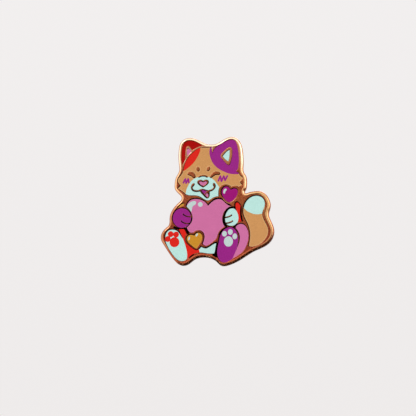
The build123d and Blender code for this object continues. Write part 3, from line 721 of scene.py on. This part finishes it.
# Colour, colour where it meets the metal, grain
COLOURS = {
    "mint": (srgb(172, 219, 222), srgb(192, 236, 242), 0.05),
    "tan": (srgb(188, 142, 92), srgb(222, 192, 148), 0.16),
    "purple": (srgb(139, 32, 132), srgb(150, 52, 142), 0.12),
    "magenta": (srgb(143, 14, 116), srgb(160, 50, 134), 0.10),
    "pink": (srgb(188, 106, 161), srgb(204, 130, 174), 0.06),
    "dark_red": (srgb(154, 1, 0), srgb(150, 20, 12), 0.12),
    "gold": (srgb(184, 134, 42), srgb(206, 160, 78), 0.10),
    "red": (srgb(201, 30, 22), srgb(206, 50, 34), 0.08),
    "shine": (srgb(175, 201, 207), srgb(190, 214, 218), 0.03),
}
EDGE_SHADOW = srgb(40, 26, 20)  # painted shadow in the gap where the enamel meets the metal
EDGE_SHADOWED = {"mint": 0.85}  # how much of the painted shadow shows; only the palest colour shows any
EDGE_SHADOW_SPAN = (0.62, 0.84)  # from where to where in the painted edge it thickens


def enamel_look(name, tone):
    """Hard glossy enamel with fine pigment grain, paler where it thins at the metal, with a painted shadow
    line at the metal in the palest colour.
    """
    colour, rim_colour, grain = COLOURS[tone]
    look = Look(name)
    fine = look.noise(0.26, 4.0, 0.75)
    slow = look.noise(2.4, 2.0)
    edge = look.painted("edge")
    body = look.ramp(fine, (0.3, scaled(colour, 1 - grain)), (0.7, scaled(colour, 1 + grain)))
    body = look.mix(look.levels(slow, 0.35, 0.65, 0.0, 0.35), body, scaled(colour, 0.93))
    body = look.mix(look.levels(edge, 0.1, 1.0, 0.0, 0.55), body, rim_colour)
    body = look.mix(look.levels(edge, *EDGE_SHADOW_SPAN, 0.0, EDGE_SHADOWED.get(tone, 0.0)), body, EDGE_SHADOW)
    look.bump(look.noise(0.55, 1.5), 0.004, 0.5)
    return look.set(
        Base_Color=body,
        Roughness=look.levels(look.noise(0.4, 3.0), 0.3, 0.7, 0.10, 0.17),
        IOR=1.5,
        Specular_IOR_Level=0.35,
    )


def film_look(name, tone):
    """Printed colour, satin, with the faint tooth of the ink, and a painted shadow line at the metal in the
    palest colour.
    """
    colour, _, grain = COLOURS[tone]
    look = Look(name)
    tooth = look.noise(0.22, 4.0, 0.75)
    slow = look.noise(1.9, 2.0)
    edge = look.painted("edge")
    body = look.ramp(tooth, (0.3, scaled(colour, 1 - grain)), (0.7, scaled(colour, 1 + grain)))
    body = look.mix(look.levels(slow, 0.35, 0.65, 0.0, 0.3), body, scaled(colour, 0.94))
    body = look.mix(look.levels(edge, *EDGE_SHADOW_SPAN, 0.0, EDGE_SHADOWED.get(tone, 0.0)), body, EDGE_SHADOW)
    look.bump(tooth, 0.002, 0.5)
    return look.set(
        Base_Color=body,
        Roughness=look.levels(look.noise(0.3, 3.0), 0.3, 0.7, 0.18, 0.28),
        IOR=1.48,
        Specular_IOR_Level=0.3,
    )


# Zones of the copper where light and shade are painted: (where a tone starts, where it is full), in
# millimetres up or across the badge
LOW = (-8, -15)
HIGH = (8, 11)
FACE = (5.5, 8)
LEFT = (-5, -10)
LEFT_BELOW = (3, -2)
TAIL = (9, 13)
WARM_ABOVE = (-11, -5)
WARM_RIGHT = (-9, -4)
SHEARED_RIGHT = (-10.5, -8.5)


def plain_copper(look, mottle, up, across, high):
    """Dull mottled copper, with painted light and shade: a redder painted shade at the bottom left, and a
    pale painted highlight at the top.
    """
    shaded_red = look.ramp(mottle, (0.32, srgb(134, 58, 40)), (0.68, srgb(206, 110, 78)))
    warm = look.ramp(mottle, (0.32, srgb(138, 68, 44)), (0.68, srgb(218, 134, 88)))
    sunny = look.maths("MULTIPLY", look.zone(up, WARM_ABOVE), look.zone(across, WARM_RIGHT, 0.3))
    body = look.mix(sunny, shaded_red, warm)
    return look.mix(look.maths("MULTIPLY", high, 0.65), body, srgb(214, 158, 116))


def border_copper(look, up, across, low, high):
    """Polished copper, with painted light and shade: a duller tan painted reflection towards the tail, a
    patchy darker red painted shade below and at the left, and a painted highlight at the top.
    """
    patch = look.noise(0.9, 3.0)
    blotches = look.levels(look.noise(0.22, 4.0, 0.7), 0.35, 0.7)
    left = look.maths("MULTIPLY", look.zone(across, LEFT, 0.0, 0.7), look.zone(up, LEFT_BELOW))
    body = look.ramp(patch, (0.3, srgb(238, 190, 146)), (0.7, srgb(250, 212, 168)))
    body = look.mix(look.zone(across, TAIL), body, srgb(216, 178, 130))
    shaded_tone = look.mix(blotches, srgb(128, 62, 40), srgb(196, 116, 80))
    body = look.mix(look.maths("MAXIMUM", low, left), body, shaded_tone)
    return look.mix(high, body, srgb(255, 238, 214))


def painted_specks(look, body, flank, streak):
    """Black and gold specks over the lower side, as a stamping tool tears it: painted dark reflections and
    painted glints.
    """
    black = look.maths("MULTIPLY", flank, look.levels(streak, 0.40, 0.48, 0.0, 0.95))
    body = look.mix(black, body, srgb(20, 10, 6))
    gold = look.maths("MULTIPLY", flank, look.levels(streak, 0.40, 0.36, 0.0, 0.9))
    return look.mix(gold, body, srgb(255, 220, 160))


def copper_look():
    """Copper plating, polished on the border and dull in the plain areas, with painted shade beside the
    enamel and painted light and shade that change over the badge.
    """
    look = Look("copper_plating")
    polish = look.painted("crest")
    grain = look.noise(0.07, 4.0, 0.65)
    mottle = look.noise(0.34, 4.0, 0.7)
    streak = look.noise(0.35, 3.0, 0.7, (1, 0.4, 1))
    across, _, up = look.axes()
    low = look.zone(up, LOW)
    high = look.zone(up, HIGH)
    # the colour of the painted shade beside the enamel: near-black lower down, brown higher up
    corner_shade = look.mix(look.zone(up, FACE), srgb(16, 8, 6), srgb(92, 50, 32))
    plain = plain_copper(look, mottle, up, across, high)
    body = look.mix(look.levels(polish, 0.13, 0.29), corner_shade, plain)
    body = look.mix(look.levels(polish, 0.35, 0.8), body, border_copper(look, up, across, low, high))
    under = look.maths("MULTIPLY", low, look.zone(across, SHEARED_RIGHT))
    flank = look.maths("MULTIPLY", look.painted("flank"), under)
    body = painted_specks(look, body, flank, streak)
    torn = look.maths("MULTIPLY", streak, flank)
    pebble = look.maths("ADD", look.maths("MULTIPLY", grain, 0.012), look.maths("MULTIPLY", mottle, 0.04))
    look.bump(look.maths("ADD", pebble, torn), 0.2)
    soft = look.levels(polish, 0.4, 0.85, 0.34, 0.17)
    return look.set(
        Base_Color=body,
        Metallic=1.0,
        Roughness=look.maths("ADD", soft, look.levels(grain, 0.3, 0.7, -0.04, 0.05)),
    )


# Two tones, grain size (mm), roughness from and to, bump depth (mm), stretch of the grain
METALS = {
    "clutch_brass": (srgb(218, 182, 110), srgb(232, 202, 138), 0.12, (0.2, 0.34), 0.004, None),
    "post_steel": (srgb(196, 190, 182), srgb(214, 208, 200), 0.1, (0.22, 0.34), 0.003, (1, 0.15, 1)),
    "spring_steel": (srgb(184, 180, 174), srgb(206, 202, 196), 0.08, (0.2, 0.3), 0.002, (1, 1, 0.2)),
    "solder": (srgb(150, 150, 152), srgb(186, 186, 188), 0.16, (0.38, 0.6), 0.02, None),
}


def metal_look(name):
    """A plain metal in two patchy tones, with a fine grain."""
    low, high, grain_mm, rough, depth, stretch = METALS[name]
    look = Look(name)
    grain = look.noise(grain_mm, 4.0, 0.6, stretch)
    patch = look.noise(1.6, 2.0)
    look.bump(grain, depth, 0.5)
    return look.set(
        Base_Color=look.mix(look.levels(patch, 0.35, 0.65), low, high),
        Metallic=1.0,
        Roughness=look.levels(grain, 0.3, 0.7, *rough),
    )


def look_of(slot):
    kind, _, tone = slot.partition("_")
    if kind == "enamel":
        return enamel_look(slot, tone)
    if kind == "print":
        return film_look(slot, tone)
    return copper_look() if slot == "metal" else metal_look(slot)


# ---------------------------------------------------------------- the whole pin


def dress_cad_node(node, obj):
    """The material of a CAD node, and eased edges on the sheet metal and wire of the clutches."""
    obj.data.materials.clear()
    obj.data.materials.append(looks[slot_of[node]])
    if node.startswith("clutch_"):
        weld = obj.modifiers.new("weld", "WELD")
        weld.merge_threshold = CLUTCH_WELD * MM
        bevel = obj.modifiers.new("eased_edges", "BEVEL")
        bevel.width = EASED * MM
        bevel.segments = 2
        bevel.limit_method = "ANGLE"
        bevel.angle_limit = EASED_ANGLE
        bevel.harden_normals = True


looks = {slot: look_of(slot) for slot in sorted(set(slot_of.values()))}
enamel_nodes = sorted(node for node in nodes if node.startswith("enamel_"))
cells = {node: [smooth(ring) for ring in flat_loops(node, CAD_ENAMEL)] for node in enamel_nodes}
make_metal(list(cells.values()), looks["metal"])
for enamel_node, own_cell in cells.items():
    make_fill(enamel_node, own_cell)
for film_node, cell_node in FILM_CELL.items():
    make_film(film_node, cells[cell_node])
for cad_node, cad_object in nodes.items():
    dress_cad_node(cad_node, cad_object)


# ---------------------------------------------------------------- studio

# Light from all round, by where it comes from: straight ahead of the badge, below, beside, behind
ROOM_DARK = (0.30, 0.17, 0.13, 1)
ROOM_LOW = (0.20, 0.10, 0.07, 1)
ROOM_LIGHT = (1.30, 1.18, 1.02, 1)
ROOM_BEHIND = (0.90, 0.87, 0.87, 1)
DARK_SPOT = (-0.965, -0.90)  # from dark to light, by how far a direction points backwards
TO_BEHIND = (-0.25, 0.10)
LOW_EDGE = (-0.26, -0.02)  # from dark to light, by how far it points up
LEFT_LIFT = 0.7  # the light on the left reaches further down than the rest

BACKDROP_RADIUS = 1.2
BACKDROP_LOW = (0.78, 0.75, 0.74, 1)
BACKDROP_HIGH = (0.94, 0.92, 0.92, 1)
FLOOR_HALF = 3.0
FLOOR_LEVEL = -0.092

# Soft lights that face the badge: place, width and height, power, colour
LIGHTS = {
    "key": ((-0.25, -0.25, 0.32), (0.14, 0.14), 0.3, (1, 0.98, 0.95)),
    "right": ((0.35, -0.18, 0.12), (0.12, 0.3), 0.15, (1, 0.98, 0.95)),
    "back": ((0.1, 0.45, 0.35), (0.3, 0.3), 1.5, (1, 0.98, 0.96)),
}

AZIMUTH = math.radians(7.5)
ELEVATION = math.radians(-9)
DISTANCE = 0.45
VIEW_WIDTH = 0.1201  # what the camera takes in at that distance
AIM = Vector((-1.155 * MM, -1.2 * MM, -2.6 * MM))
SENSOR = 36


def staged(name, mesh, material):
    mesh.materials.append(material)
    obj = bpy.data.objects.new(name, mesh)
    bpy.context.scene.collection.objects.link(obj)
    obj.visible_glossy = False
    return obj


def backdrop():
    """A plain bright sphere round everything. Only the camera sees it."""
    mesh = bpy.data.meshes.new("backdrop")
    ball = bmesh.new()
    bmesh.ops.create_uvsphere(ball, u_segments=48, v_segments=24, radius=BACKDROP_RADIUS)
    ball.to_mesh(mesh)
    ball.free()
    material = bpy.data.materials.new("backdrop")
    material.use_nodes = True
    material.node_tree.nodes.clear()
    glow = Wiring(material.node_tree, "Object")
    _, _, up = glow.axes()
    height = glow.levels(up, -BACKDROP_RADIUS, BACKDROP_RADIUS)
    colour = glow.ramp(height, (0.0, BACKDROP_LOW), (1.0, BACKDROP_HIGH))
    glow.add("OutputMaterial", {"Surface": glow.add("Emission", {"Color": colour}).outputs[0]})
    obj = staged("backdrop", mesh, material)
    obj.visible_diffuse = False
    obj.visible_transmission = False
    obj.visible_shadow = False


def floor():
    """A pale floor under the badge. It gives light back, and the camera doesn't see it."""
    corners = [(x * FLOOR_HALF, y * FLOOR_HALF, FLOOR_LEVEL) for x, y in ((-1, -1), (1, -1), (1, 1), (-1, 1))]
    mesh = bpy.data.meshes.new("floor")
    mesh.from_pydata(corners, [], [(0, 1, 2, 3)])
    look = Look("floor")
    body = look.ramp(look.noise(1.2, 3.0), (0.3, srgb(236, 232, 230)), (0.7, srgb(242, 238, 236)))
    obj = staged("floor", mesh, look.set(Base_Color=body, Roughness=0.8))
    obj.visible_camera = False


def world():
    """Soft light all round, with the dark of the room in front of the badge and below it."""
    made = bpy.data.worlds.new("studio")
    bpy.context.scene.world = made
    made.use_nodes = True
    sky = Wiring(made.node_tree, "Generated")
    x, y, z = sky.axes()
    lifted = sky.maths("SUBTRACT", z, sky.maths("MULTIPLY", sky.maths("MINIMUM", x, 0.0), LEFT_LIFT))
    shades = [
        sky.levels(value, *limits, interpolation_type="SMOOTHSTEP")
        for value, limits in ((y, DARK_SPOT), (y, TO_BEHIND), (lifted, LOW_EDGE))
    ]
    lit = sky.mix(shades[0], ROOM_DARK, ROOM_LIGHT)
    lit = sky.mix(shades[1], lit, ROOM_BEHIND)
    lit = sky.mix(shades[2], ROOM_LOW, lit)
    sky.plug(sky.tree.nodes["Background"].inputs["Color"], lit)


def area_light(name, position, size, power, colour):
    data = bpy.data.lights.new(name, "AREA")
    data.shape = "RECTANGLE"
    data.size, data.size_y = size
    data.energy = power
    data.color = colour
    obj = bpy.data.objects.new(name, data)
    obj.location = position
    obj.rotation_mode = "QUATERNION"
    obj.rotation_quaternion = (-Vector(position)).to_track_quat("-Z", "Y")
    bpy.context.scene.collection.objects.link(obj)


def camera():
    level = math.cos(ELEVATION)
    back = Vector((math.sin(AZIMUTH) * level, -math.cos(AZIMUTH) * level, math.sin(ELEVATION)))
    data = bpy.data.cameras.new("camera")
    data.sensor_width = SENSOR
    data.lens = SENSOR * DISTANCE / VIEW_WIDTH
    data.clip_start = 0.01
    obj = bpy.data.objects.new("camera", data)
    obj.location = AIM + back * DISTANCE
    obj.rotation_mode = "QUATERNION"
    obj.rotation_quaternion = (-back).to_track_quat("-Z", "Y")
    bpy.context.scene.collection.objects.link(obj)
    bpy.context.scene.camera = obj


backdrop()
floor()
world()
for light_name, light_values in LIGHTS.items():
    area_light(light_name, *light_values)
camera()
bpy.context.scene.view_settings.view_transform = "Standard"
